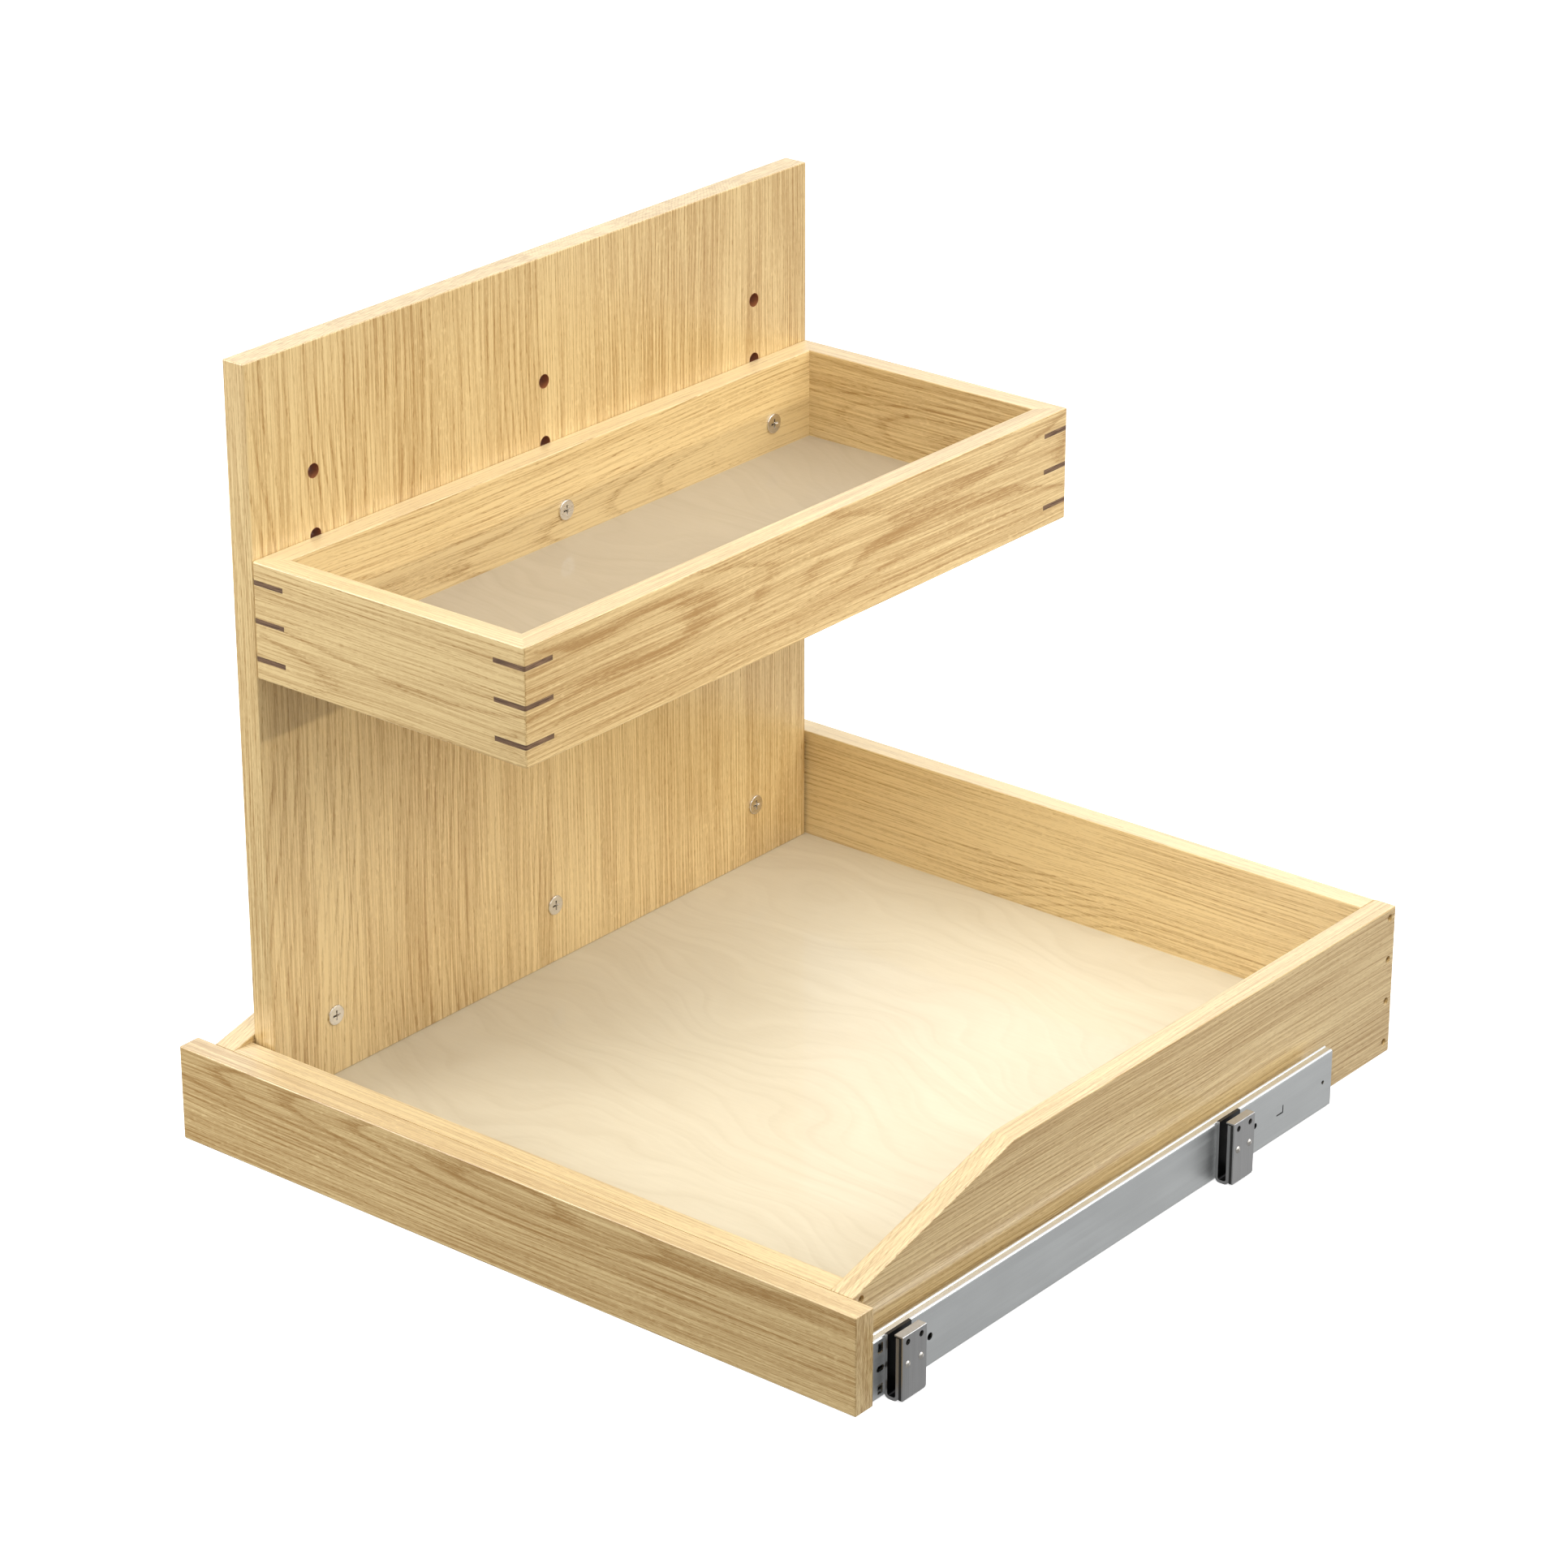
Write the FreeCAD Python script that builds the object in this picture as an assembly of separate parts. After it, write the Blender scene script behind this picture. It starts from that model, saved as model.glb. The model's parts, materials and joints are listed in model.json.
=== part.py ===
import FreeCAD, Part

import math
import os

from FreeCAD import Vector

# Two-tier wooden pull-out drawer on ball bearing side slides. Millimetres.
# The origin is under the middle of the drawer: +X to the right, +Y to the back, +Z up.
# The front panel faces -Y and the drawer pulls out towards -Y.
# Positions called "back" are measured from the front face of the front panel.

# ---------------------------------------------------------------- driving dimensions
DEPTH = 534.0                 # front face of the front panel to the back of the box
PANEL_WIDTH = 495.0
PANEL_HEIGHT = 59.5
BOX_WIDTH = 466.8             # over the outer faces of the two sides
SIDE_HEIGHT = 95.4
RAMP_END = 155.4              # back to where the sloped top of a side reaches full height
BOARD = 15.0                  # thickness of every solid board of the tray and the shelf
EASE = 0.8                    # rounding of the exposed arrises
GROOVE = 6.0                  # depth of the grooves that hold the ply floors

FLOOR_TOP = 23.65
FLOOR_PLY = 12.0

UPRIGHT_THICKNESS = 16.0
UPRIGHT_TOP = 473.3
UPRIGHT_START = 31.8          # back to the front edge of the upright panel
UPRIGHT_END = 517.4
HOLE_RADIUS = 4.25            # adjusting holes in the upright panel
HOLE_COLUMN_PITCH = 192.4
HOLE_ROW_PITCH = 38.0
FIRST_HOLE_ROW = 322.0        # height of the row that carries the shelf
LOWER_BOLT_HEIGHT = 61.8      # bolts that hold the upright panel to the left side

SHELF_WIDTH = 200.0
SHELF_BOTTOM = 289.8
SHELF_TOP = 359.5
SHELF_FLOOR_TOP = 304.2
SHELF_PLY = 9.0
KEY_LEG = 22.5                # length of a corner key along each face
KEY_THICKNESS = 3.0
KEY_PITCH = 22.65
CORNER_ROUNDING = 1.2

FIT_CLEARANCE = 0.05          # radial, between a screw and its hole
RECESS_WING = 0.19            # half width of a cross recess's wing, as a share of its reach
RECESS_BOTTOM_REACH = 0.45    # shares of the mouth that are left at the bottom of the recess
RECESS_BOTTOM_WIDTH = 0.6

BOLT_HEAD_RADIUS = 6.25
BOLT_HEAD_HEIGHT = 1.2
BOLT_HEAD_ROUNDING = 0.5
BOLT_SHANK_RADIUS = 3.0
BOLT_SHANK_LENGTH = 24.0
BOLT_RECESS_DEPTH = 2.4
BOLT_RECESS_REACH = 3.1
SLEEVE_RADIUS = 4.15
SLEEVE_LENGTH = 14.0
SLEEVE_THREAD_START = 1.0     # from the face under the sleeve's head

SCREW_RADIUS = 1.5            # shank of every wood screw
SIDE_SCREW_HEAD_RADIUS = 2.3
SIDE_SCREW_HEAD_HEIGHT = 2.4
SIDE_SCREW_SUNK = 4.0         # from the side's outer face to the top of the head
SIDE_SCREW_LENGTH = 36.0
SIDE_SCREW_RECESS_DEPTH = 1.4
SIDE_SCREW_RECESS_REACH = 1.3
REAR_SCREW_BACK = 528.0
LOWEST_SCREW = 7.5            # height of the lowest screw of each row
REAR_SCREW_PITCH = 27.4
REAR_SCREW_COUNT = 4
FRONT_SCREW_BACK = 22.1
FRONT_SCREW_PITCH = 24.25
FRONT_SCREW_COUNT = 3
PANEL_SCREW_COUNT = 4
PANEL_SCREW_SPACING = 125.0
PANEL_SCREW_HEIGHT = 42.0
PANEL_SCREW_LENGTH = 26.0
PANEL_SCREW_HEAD_RADIUS = 3.6
PANEL_SCREW_HEAD_HEIGHT = 2.4

# The slide's section is drawn in (s, h): s outwards from the drawer's side, h from mid height.
SLIDE_GAUGE = 1.0
SLIDE_THICKNESS = 12.7
SLIDE_HEIGHT = 36.4           # over the flats of the cabinet member's flanges
SLIDE_MID = 19.0              # height of the middle of the slide above the ground
CABINET_MEMBER_START = 16.0
CABINET_MEMBER_LENGTH = 435.0
CABINET_BEND = 1.0
BEAD_S = 7.0                  # middle of the raised bead along the lip of each flange
BEAD_RADIUS = 0.65
BEAD_FOOT_RADIUS = 0.55
BEAD_TURN = 60.0
LIP_LENGTH = 1.6
INTERMEDIATE_START = 28.0
INTERMEDIATE_LENGTH = 418.0
INTERMEDIATE_WEB_S = 10.8
INTERMEDIATE_BEND = 0.9
DRAWER_MEMBER_START = 16.0
DRAWER_MEMBER_LENGTH = 434.0
DRAWER_BEND = 1.0
DRAWER_FLANGE_TURN = 60.0
BALL_RADIUS = 1.5
RACE_RADIUS = 2.2             # middle of the sheet around a ball
OUTER_BALL_S = 9.4
BALL_PITCH = 20.0
BALLS_PER_ROW = 10

SLIDE_SCREW_LENGTH = 9.5      # short, to stay out of the tray floor in its groove
SLIDE_SCREW_BACKS = (52.0, 196.0, 308.0, 438.0)
SLIDE_SCREW_HEAD_RADIUS = 3.4
SLIDE_SCREW_HEAD_HEIGHT = 2.0
SLIDE_SCREW_HEAD_ROUNDING = 1.0
SLIDE_SCREW_RECESS_DEPTH = 1.5
SLIDE_SCREW_RECESS_REACH = 1.7

CAGE_START = 125.0
CAGE_LENGTH = 206.0
POCKET_CLEARANCE = 0.1        # around a ball in its cage
POCKET_REACH = 2.0            # of the pocket's cut, above and below the ball's middle
OUTER_CAGE_LOW_S = 8.1
OUTER_CAGE_HIGH_S = 11.35
OUTER_CAGE_GAUGE = 0.6
INNER_CAGE_GAUGE = 0.4
INNER_CAGE_WEB_S = 9.5
INNER_CAGE_BEND = 0.3
INNER_CAGE_LAP = 0.9          # its edge past the middle of the balls
INNER_CAGE_SET = 0.25         # its strips below the middle of the balls

WEB_SLOT_BACK = 22.6          # the three slots at the front of the cabinet member's web
WEB_SLOT_RISE = 12.3
WEB_SLOT_WIDTH = 4.2
WEB_SLOT_HEIGHT = 6.0
WEB_SLOT_ROUNDING = 0.5
MIDDLE_SLOT_WIDTH = 6.2
MIDDLE_SLOT_HEIGHT = 3.6
MIDDLE_SLOT_ROUNDING = 1.75
WEB_HOLES = ((65.3, 2.2), (371.8, 1.8), (442.0, 1.3))     # back and radius of each
PORT_MARGIN = 1.8             # radius of the intermediate member's holes over what is in front of them
TAB_BACK = 397.0              # small stop tab lanced in the cabinet member's web
TAB_LENGTH = 6.0
TAB_HEIGHT = 4.2
TAB_SLIT = 0.9
BUMPER_GAP = 0.4              # behind the intermediate member
BUMPER_INNER_S = 9.2
BUMPER_HALF_HEIGHT = 9.0
BUMPER_ROUNDING = 0.8

BRACKET_WIDTH = 20.5
BRACKET_STARTS = {"front": 26.0, "rear": 332.0}
CHANNEL_GAUGE = 2.0
CHANNEL_DEPTH = 9.5
CHANNEL_TOP = 38.5
CHANNEL_BEND = 2.5
PAD_THICKNESS = 1.8
PLATE_THICKNESS = 0.8
PLATE_BOTTOM = 1.5
PLATE_TOP = 40.0
PLATE_HOLE_RADIUS = 1.8
PLATE_HOLE_SPACING = 11.5
PLATE_HOLE_HEIGHT = 35.8
PLATE_CORNER = 1.5
PLATE_FOLD_ROUNDING = 0.5
PLATE_FOLD_LAP = 1.0          # of its folded top past the channel's outer leg
RIVET_HEAD_RADIUS = 2.1
RIVET_HEAD_HEIGHT = 1.0
RIVET_RADIUS = 1.2
RIVET_HEIGHT = 22.3
RIVET_TAIL = 0.8

# ---------------------------------------------------------------- places worked out from them
FRONT = -DEPTH / 2
BACK = DEPTH / 2
OUT = BOX_WIDTH / 2           # outer face of a side
IN = OUT - BOARD              # inner face of a side
RAIL_END = 2 * BOARD          # back to the rear face of the inner front rail
UPRIGHT_LEFT = -IN
UPRIGHT_RIGHT = UPRIGHT_LEFT + UPRIGHT_THICKNESS
COLUMN_BACKS = [(UPRIGHT_START + UPRIGHT_END) / 2 + k * HOLE_COLUMN_PITCH for k in (-1, 0, 1)]
HOLE_ROWS = [FIRST_HOLE_ROW + k * HOLE_ROW_PITCH for k in range(3)]
SHELF_LEFT = UPRIGHT_RIGHT
SHELF_RIGHT = SHELF_LEFT + SHELF_WIDTH
SHELF_MIDDLE = (SHELF_BOTTOM + SHELF_TOP) / 2
FLANGE_MID = SLIDE_HEIGHT / 2 - SLIDE_GAUGE / 2
CABINET_WEB_S = SLIDE_THICKNESS - SLIDE_GAUGE / 2
OUTER_BALL_H = FLANGE_MID - RACE_RADIUS
BALL_STEP = 2 * RACE_RADIUS * math.sqrt(0.5)
INNER_BALL_S = OUTER_BALL_S - BALL_STEP
INNER_BALL_H = OUTER_BALL_H - BALL_STEP
WEB_CUT_LOW = OUT + SLIDE_THICKNESS - 2 * SLIDE_GAUGE     # a cut through the cabinet member's web
WEB_CUT_LENGTH = 3 * SLIDE_GAUGE
BRACKET_INNER = OUT + SLIDE_THICKNESS
PAD_INNER = BRACKET_INNER + CHANNEL_DEPTH
LEG_INNER = PAD_INNER - CHANNEL_GAUGE
PLATE_INNER = PAD_INNER + PAD_THICKNESS
PLATE_OUTER = PLATE_INNER + PLATE_THICKNESS
X_AXIS = Vector(1, 0, 0)
ORIGIN = Vector(0, 0, 0)
TOLERANCE = 0.01


def at(back):
    """Row Y of a place measured back from the front face of the front panel."""
    return FRONT + back


# ---------------------------------------------------------------- shape helpers
def slab(x_low, x_high, y_low, y_high, z_low, z_high):
    size = (x_high - x_low, y_high - y_low, z_high - z_low)
    return Part.makeBox(*size, Vector(x_low, y_low, z_low))


def eased(solid, radius, wanted=None):
    """Round the edges whose middle point passes the test, or every edge."""
    edges = [edge for edge in solid.Edges if wanted is None or wanted(edge.CenterOfMass)]
    return solid.makeFillet(radius, edges)


def near(value, target):
    return abs(value - target) < TOLERANCE


def cut_all(solid, cutters):
    for cutter in cutters:
        solid = solid.cut(cutter)
    return solid


def rod(x, back, z, length, radius, towards=1):
    """Cylinder along X from x, of the given length towards +X or -X."""
    return Part.makeCylinder(radius, length, Vector(x, at(back), z), Vector(towards, 0, 0))


def mirrored(shape):
    return shape.mirror(ORIGIN, X_AXIS)


def profile_yz(points, x_low, x_high):
    """Prism along X from an outline given as (back, z) points."""
    corners = [Vector(x_low, at(back), z) for back, z in points]
    return Part.Face(Part.makePolygon(corners + corners[:1])).extrude(Vector(x_high - x_low, 0, 0))


def outline_xy(points, z_low, z_high):
    corners = [Vector(x, y, z_low) for x, y in points]
    return Part.Face(Part.makePolygon(corners + corners[:1])).extrude(Vector(0, 0, z_high - z_low))


def rectangle(x, back, z, half_y, half_z):
    """Closed outline in the plane of x, centred on (back, z)."""
    corners = ((-1, -1), (1, -1), (1, 1), (-1, 1), (-1, -1))
    return Part.makePolygon([Vector(x, at(back) + a * half_y, z + b * half_z) for a, b in corners])


def cross_recess(x, back, z, depth, reach):
    """Phillips recess cut from x towards -X: two crossed wings that taper to the bottom."""
    wing = reach * RECESS_WING
    wings = []
    for half_y, half_z in ((reach, wing), (wing, reach)):
        mouth = rectangle(x, back, z, half_y, half_z)
        bottom = rectangle(x - depth, back, z, half_y * RECESS_BOTTOM_REACH, half_z * RECESS_BOTTOM_WIDTH)
        wings.append(Part.makeLoft([mouth, bottom], True, True))
    return wings[0].fuse(wings[1])


# ---------------------------------------------------------------- wooden tray
def floor_groove(x_low, x_high, back_low, back_high):
    return slab(x_low, x_high, at(back_low), at(back_high), FLOOR_TOP - FLOOR_PLY, FLOOR_TOP)


def front_panel():
    half = PANEL_WIDTH / 2
    board = eased(slab(-half, half, FRONT, at(BOARD), 0, PANEL_HEIGHT), EASE)
    for x in panel_screw_places():
        board = board.cut(panel_screw_hole(x))
    return board


def panel_screw_places():
    return [(k - (PANEL_SCREW_COUNT - 1) / 2) * PANEL_SCREW_SPACING for k in range(PANEL_SCREW_COUNT)]


def panel_screw(x, extra=0.0):
    """Countersunk screw from the rear face of the inner rail forwards into the front panel."""
    top = Vector(x, at(RAIL_END), PANEL_SCREW_HEIGHT)
    forwards = Vector(0, -1, 0)
    head_radius = PANEL_SCREW_HEAD_RADIUS + extra
    head = Part.makeCone(head_radius, SCREW_RADIUS + extra, PANEL_SCREW_HEAD_HEIGHT, top, forwards)
    shank = Part.makeCylinder(SCREW_RADIUS + extra, PANEL_SCREW_LENGTH, top, forwards)
    return head.fuse(shank)


def panel_screw_hole(x):
    return panel_screw(x, FIT_CLEARANCE)


def inner_front_rail():
    board = slab(-IN, IN, at(BOARD), at(RAIL_END), 0, PANEL_HEIGHT)
    board = eased(board, EASE, lambda p: near(p.y, at(RAIL_END)) and near(p.x, 0))
    board = board.cut(floor_groove(-IN, IN, RAIL_END - GROOVE, RAIL_END))
    for x in panel_screw_places():
        board = board.cut(panel_screw_hole(x))
    for hole in front_screw_holes():
        board = board.cut(hole)
    return board


def plain_side():
    """Right side board, before its holes: the top slopes up from the front panel."""
    outline = [(BOARD, 0), (DEPTH, 0), (DEPTH, SIDE_HEIGHT), (RAMP_END, SIDE_HEIGHT),
               (BOARD, PANEL_HEIGHT)]
    board = profile_yz(outline, IN, OUT)

    def exposed(p):
        long_edge = not near(p.y, at(BOARD)) and not near(p.y, BACK)
        rear_corner = near(p.y, BACK) and near(p.x, OUT)
        return (long_edge and (near(p.x, IN) or near(p.x, OUT))) or rear_corner

    board = eased(board, EASE, exposed).common(slab(IN, OUT, at(BOARD), BACK, 0, SIDE_HEIGHT))
    return board.cut(floor_groove(IN, IN + GROOVE, RAIL_END - GROOVE, DEPTH - BOARD + GROOVE))


def side_screw_places():
    rear = [(REAR_SCREW_BACK, LOWEST_SCREW + k * REAR_SCREW_PITCH) for k in range(REAR_SCREW_COUNT)]
    front = [(FRONT_SCREW_BACK, LOWEST_SCREW + k * FRONT_SCREW_PITCH) for k in range(FRONT_SCREW_COUNT)]
    return rear, front


def side_screw(back, z, extra=0.0, recess=False):
    """Trim head screw from the right outer face inwards; recess=True gives its hole instead."""
    top = OUT - SIDE_SCREW_SUNK
    head_start = OUT if recess else top
    head_length = head_start - top + SIDE_SCREW_HEAD_HEIGHT
    head = rod(head_start, back, z, head_length, SIDE_SCREW_HEAD_RADIUS + extra, -1)
    shank = rod(top, back, z, SIDE_SCREW_LENGTH, SCREW_RADIUS + extra, -1)
    body = head.fuse(shank)
    if recess:
        return body
    return body.cut(cross_recess(top, back, z, SIDE_SCREW_RECESS_DEPTH, SIDE_SCREW_RECESS_REACH))


def both_sides(shapes):
    return shapes + [mirrored(shape) for shape in shapes]


def rear_screw_holes():
    places = side_screw_places()[0]
    return both_sides([side_screw(back, z, FIT_CLEARANCE, True) for back, z in places])


def front_screw_holes():
    places = side_screw_places()[1]
    return both_sides([side_screw(back, z, FIT_CLEARANCE, True) for back, z in places])


def drilled_side():
    board = plain_side()
    for hole in rear_screw_holes() + front_screw_holes():
        if hole.BoundBox.XMin > 0:
            board = board.cut(hole)
    for hole in slide_screws(FIT_CLEARANCE):
        board = board.cut(hole)
    return board


def left_side():
    board = mirrored(drilled_side())
    for back in COLUMN_BACKS:
        board = board.cut(rod(-OUT, back, LOWER_BOLT_HEIGHT, BOARD, HOLE_RADIUS))
    return board


def rear_panel():
    board = slab(-IN, IN, at(DEPTH - BOARD), BACK, 0, SIDE_HEIGHT)
    board = eased(board, EASE, lambda p: near(p.x, 0) and not near(p.z, 0))
    board = board.cut(floor_groove(-IN, IN, DEPTH - BOARD, DEPTH - BOARD + GROOVE))
    for hole in rear_screw_holes():
        board = board.cut(hole)
    return board


def tray_floor():
    reach = IN + GROOVE
    return floor_groove(-reach, reach, RAIL_END - GROOVE, DEPTH - BOARD + GROOVE)


# ---------------------------------------------------------------- upright panel and its bolts
def upright_panel():
    board = slab(UPRIGHT_LEFT, UPRIGHT_RIGHT, at(UPRIGHT_START), at(UPRIGHT_END), FLOOR_TOP, UPRIGHT_TOP)
    board = eased(board, EASE)
    for back in COLUMN_BACKS:
        for z in HOLE_ROWS + [LOWER_BOLT_HEIGHT]:
            board = board.cut(rod(UPRIGHT_LEFT, back, z, UPRIGHT_THICKNESS, HOLE_RADIUS))
    return board


def connector_bolt(face_x, back, z):
    """Flat head bolt whose head lies on the face at face_x, with its shank towards -X."""
    head = rod(face_x, back, z, BOLT_HEAD_HEIGHT, BOLT_HEAD_RADIUS)
    head_top = face_x + BOLT_HEAD_HEIGHT
    head = eased(head, BOLT_HEAD_ROUNDING, lambda p: near(p.x, head_top))
    shank = rod(face_x, back, z, BOLT_SHANK_LENGTH, BOLT_SHANK_RADIUS, -1)
    return head.fuse(shank).cut(cross_recess(head_top, back, z, BOLT_RECESS_DEPTH, BOLT_RECESS_REACH))


def sleeve_nut(face_x, back, z):
    """Flanged sleeve whose head lies on the face at face_x, with its barrel towards +X."""
    head = rod(face_x, back, z, BOLT_HEAD_HEIGHT, BOLT_HEAD_RADIUS, -1)
    head = eased(head, BOLT_HEAD_ROUNDING, lambda p: near(p.x, face_x - BOLT_HEAD_HEIGHT))
    barrel = rod(face_x, back, z, SLEEVE_LENGTH, SLEEVE_RADIUS)
    thread_radius = BOLT_SHANK_RADIUS + FIT_CLEARANCE
    thread = rod(face_x + SLEEVE_THREAD_START, back, z, SLEEVE_LENGTH, thread_radius)
    return head.fuse(barrel).cut(thread)


def bolt_row(face_x, z):
    return [connector_bolt(face_x, back, z) for back in COLUMN_BACKS]


def sleeve_row(face_x, z):
    return [sleeve_nut(face_x, back, z) for back in COLUMN_BACKS]


# ---------------------------------------------------------------- shelf tray
def shelf_block():
    """Outside of the shelf frame, with rounded corners and arrises."""
    block = slab(SHELF_LEFT, SHELF_RIGHT, at(UPRIGHT_START), at(UPRIGHT_END), SHELF_BOTTOM, SHELF_TOP)
    block = eased(block, CORNER_ROUNDING, lambda p: near(p.z, SHELF_MIDDLE))
    return eased(block, EASE, lambda p: near(p.z, SHELF_TOP) or near(p.z, SHELF_BOTTOM))


def shelf_frame():
    """The four walls as one ring: the block less its well, with grooves for the ply floor."""
    x_low, x_high = SHELF_LEFT + BOARD, SHELF_RIGHT - BOARD
    y_low, y_high = at(UPRIGHT_START + BOARD), at(UPRIGHT_END - BOARD)
    ring = shelf_block().cut(slab(x_low, x_high, y_low, y_high, SHELF_BOTTOM, SHELF_TOP))

    def inner_top(p):
        inside_x = x_low - TOLERANCE < p.x < x_high + TOLERANCE
        inside_y = y_low - TOLERANCE < p.y < y_high + TOLERANCE
        return inside_x and inside_y and near(p.z, SHELF_TOP)

    ring = eased(ring, EASE, inner_top)
    return ring.cut(shelf_ply())


def shelf_ply():
    inset = BOARD - GROOVE
    return slab(SHELF_LEFT + inset, SHELF_RIGHT - inset,
                at(UPRIGHT_START + inset), at(UPRIGHT_END - inset),
                SHELF_FLOOR_TOP - SHELF_PLY, SHELF_FLOOR_TOP)


def corner_keys(x, y, x_sign, y_sign, block):
    """Three triangular keys across one mitred corner, trimmed flush with the outside."""
    keys = []
    for k in (-1, 0, 1):
        low = SHELF_MIDDLE + k * KEY_PITCH - KEY_THICKNESS / 2
        outline = [(x, y), (x + x_sign * KEY_LEG, y), (x, y + y_sign * KEY_LEG)]
        key = outline_xy(outline, low, low + KEY_THICKNESS)
        keys.append(key.common(block).Solids[0])
    return keys


def shelf_parts():
    """The four mitred walls and the ply floor, keyed at the corners, and the keys of each corner."""
    x_low, x_high = SHELF_LEFT, SHELF_RIGHT
    y_low, y_high = at(UPRIGHT_START), at(UPRIGHT_END)
    block = shelf_block()
    keys = {
        "corner_keys_front_left": corner_keys(x_low, y_low, 1, 1, block),
        "corner_keys_front_right": corner_keys(x_high, y_low, -1, 1, block),
        "corner_keys_rear_left": corner_keys(x_low, y_high, 1, -1, block),
        "corner_keys_rear_right": corner_keys(x_high, y_high, -1, -1, block),
    }
    frame, floor = shelf_frame(), shelf_ply()
    for group in keys.values():
        for key in group:
            frame = frame.cut(key)
            floor = floor.cut(key)
    middle = (x_high - x_low) / 2
    left_apex, right_apex = x_low + middle, x_high - middle
    wedges = {
        "shelf_back_board": [(x_low, y_low), (left_apex, y_low + middle),
                             (left_apex, y_high - middle), (x_low, y_high)],
        "shelf_outer_board": [(x_high, y_low), (x_high, y_high),
                              (right_apex, y_high - middle), (right_apex, y_low + middle)],
        "shelf_front_end": [(x_low, y_low), (x_high, y_low), (right_apex, y_low + middle)],
        "shelf_rear_end": [(x_low, y_high), (left_apex, y_high - middle), (x_high, y_high)],
    }
    walls = {}
    for name, outline in wedges.items():
        walls[name] = frame.common(outline_xy(outline, SHELF_BOTTOM, SHELF_TOP))
    board = walls["shelf_back_board"]
    for back in COLUMN_BACKS:
        bolt_hole = rod(SHELF_LEFT, back, FIRST_HOLE_ROW, BOARD, BOLT_SHANK_RADIUS + FIT_CLEARANCE)
        board = board.cut(bolt_hole)
    walls["shelf_back_board"] = board
    walls["shelf_floor"] = floor
    return walls, keys


# ---------------------------------------------------------------- bent sheet sections
def bent_strip(start, heading, moves, gauge, back, length, x_zero, z_zero):
    """Sheet metal prism along Y. Its centre line starts at (s, h) and runs straight ("run", length)
    or bends ("bend", radius, degrees), where a positive bend turns left."""
    half = gauge / 2
    s, h = start
    angle = math.radians(heading)

    def point(s_value, h_value):
        return Vector(x_zero + s_value, at(back), z_zero + h_value)

    def beside(offset):
        return point(s - math.sin(angle) * offset, h + math.cos(angle) * offset)

    left_edges, right_edges = [], []
    first_left, first_right = beside(half), beside(-half)
    for move in moves:
        old_left, old_right = beside(half), beside(-half)
        if move[0] == "run":
            s += math.cos(angle) * move[1]
            h += math.sin(angle) * move[1]
            left_edges.append(Part.LineSegment(old_left, beside(half)).toShape())
            right_edges.append(Part.LineSegment(old_right, beside(-half)).toShape())
            continue
        radius, turn = move[1], math.radians(move[2])
        side = math.copysign(1, turn)
        centre_s = s - math.sin(angle) * radius * side
        centre_h = h + math.cos(angle) * radius * side
        middle_points = []
        for step in (0.5, 1.0):
            swept = angle + turn * step
            s_now = centre_s + math.sin(swept) * radius * side
            h_now = centre_h - math.cos(swept) * radius * side
            middle_points.append((s_now, h_now, swept))
        for offset, edges, old in ((half, left_edges, old_left), (-half, right_edges, old_right)):
            passes = [point(p[0] - math.sin(p[2]) * offset, p[1] + math.cos(p[2]) * offset)
                      for p in middle_points]
            edges.append(Part.Arc(old, passes[0], passes[1]).toShape())
        s, h, angle = middle_points[1]
    end_cap = Part.LineSegment(beside(half), beside(-half)).toShape()
    start_cap = Part.LineSegment(first_right, first_left).toShape()
    outline = Part.Wire(left_edges + [end_cap] + right_edges[::-1] + [start_cap])
    return Part.Face(outline).extrude(Vector(0, length, 0))


def there_and_back(half_moves, web):
    """A path that is the same above and below the middle of its web."""
    return half_moves[::-1] + [("run", web)] + half_moves


# ---------------------------------------------------------------- slide members
def slide_strip(start, heading, moves, back, length):
    return bent_strip(start, heading, moves, SLIDE_GAUGE, back, length, OUT, SLIDE_MID)


def web_slot(rise, width, height, rounding):
    """Rounded slot through the front of the cabinet member's web; width runs along Y."""
    z = SLIDE_MID + rise
    middle = at(WEB_SLOT_BACK)
    cutter = slab(WEB_CUT_LOW, WEB_CUT_LOW + WEB_CUT_LENGTH,
                  middle - width / 2, middle + width / 2, z - height / 2, z + height / 2)
    return eased(cutter, rounding, lambda p: near(p.x, WEB_CUT_LOW + WEB_CUT_LENGTH / 2))


def web_hole(back, radius):
    return rod(WEB_CUT_LOW, back, SLIDE_MID, WEB_CUT_LENGTH, radius)


def lanced_slit():
    """Thin slit around two sides of the stop tab."""
    high_x = WEB_CUT_LOW + WEB_CUT_LENGTH
    z_low = SLIDE_MID - TAB_HEIGHT / 2
    edge = at(TAB_BACK + TAB_LENGTH / 2)
    upright_slit = slab(WEB_CUT_LOW, high_x, edge, edge + TAB_SLIT, z_low, z_low + TAB_HEIGHT)
    lower_slit = slab(WEB_CUT_LOW, high_x, edge - TAB_LENGTH, edge + TAB_SLIT, z_low - TAB_SLIT, z_low)
    return upright_slit.fuse(lower_slit)


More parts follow.
